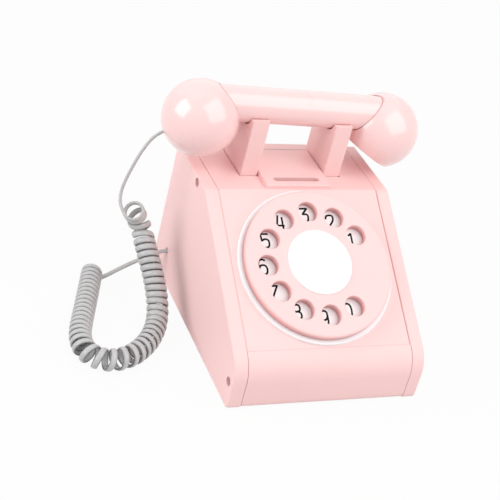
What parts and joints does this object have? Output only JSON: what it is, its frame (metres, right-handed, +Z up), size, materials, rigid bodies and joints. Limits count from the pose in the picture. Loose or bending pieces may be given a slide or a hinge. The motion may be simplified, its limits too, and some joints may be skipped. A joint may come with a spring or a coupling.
{
  "type": "toy telephone",
  "caption": "Painted wooden toy telephone with a turning finger-hole dial, a ball-ended handset that lifts off two notched posts, and a curly cord.",
  "frame": {"origin": "on the table under the middle of the cabinet", "axes": "+X to the right of a person facing the dial, +Y to the back, +Z up"},
  "size_m": [0.2389, 0.159, 0.1514],
  "materials": {
    "painted_wood": "satin paint",
    "white_paint": "satin paint",
    "bare_wood": "sanded",
    "zinc_steel": "zinc plated",
    "nylon": "moulded",
    "grey_cord": "matte jacket"
  },
  "bodies": {
    "cabinet": {"left_side_panel": "painted_wood", "right_side_panel": "painted_wood", "front_panel": "painted_wood", "lower_front_block": "painted_wood", "top_panel": "painted_wood", "back_panel": "painted_wood", "base_board": "bare_wood", "slot_plate": "painted_wood", "left_cradle_post": "painted_wood", "right_cradle_post": "painted_wood", "number_plate": "white_paint", "dial_bush": "nylon", "spindle_washer": "zinc_steel", "spindle_nut": "zinc_steel", "dial_spindle": "zinc_steel", "side_screws": "zinc_steel", "cabinet_cord_anchor": "bare_wood", "coiled_cord": "grey_cord", "handset_strand": "grey_cord", "cabinet_strand": "grey_cord"},
    "dial": {"finger_wheel": "painted_wood", "dial_centre_cap": "white_paint"},
    "handset": {"left_ball": "painted_wood", "right_ball": "painted_wood", "handset_bar": "painted_wood", "handset_dowels": "bare_wood", "handset_cord_ferrule": "zinc_steel"}
  },
  "joints": [
    {"name": "dial_turn", "type": "hinge", "parent": "cabinet", "child": "dial", "pos_m": [0, -0.02361, 0.0649], "axis": [0, -0.527, 0.8499], "continuous": true},
    {"name": "handset_lift", "type": "slide", "parent": "cabinet", "child": "handset", "axis": [0, 0, 1], "range_m": [0, 0.06], "deforming": ["handset_strand", "coiled_cord"]}
  ]
}
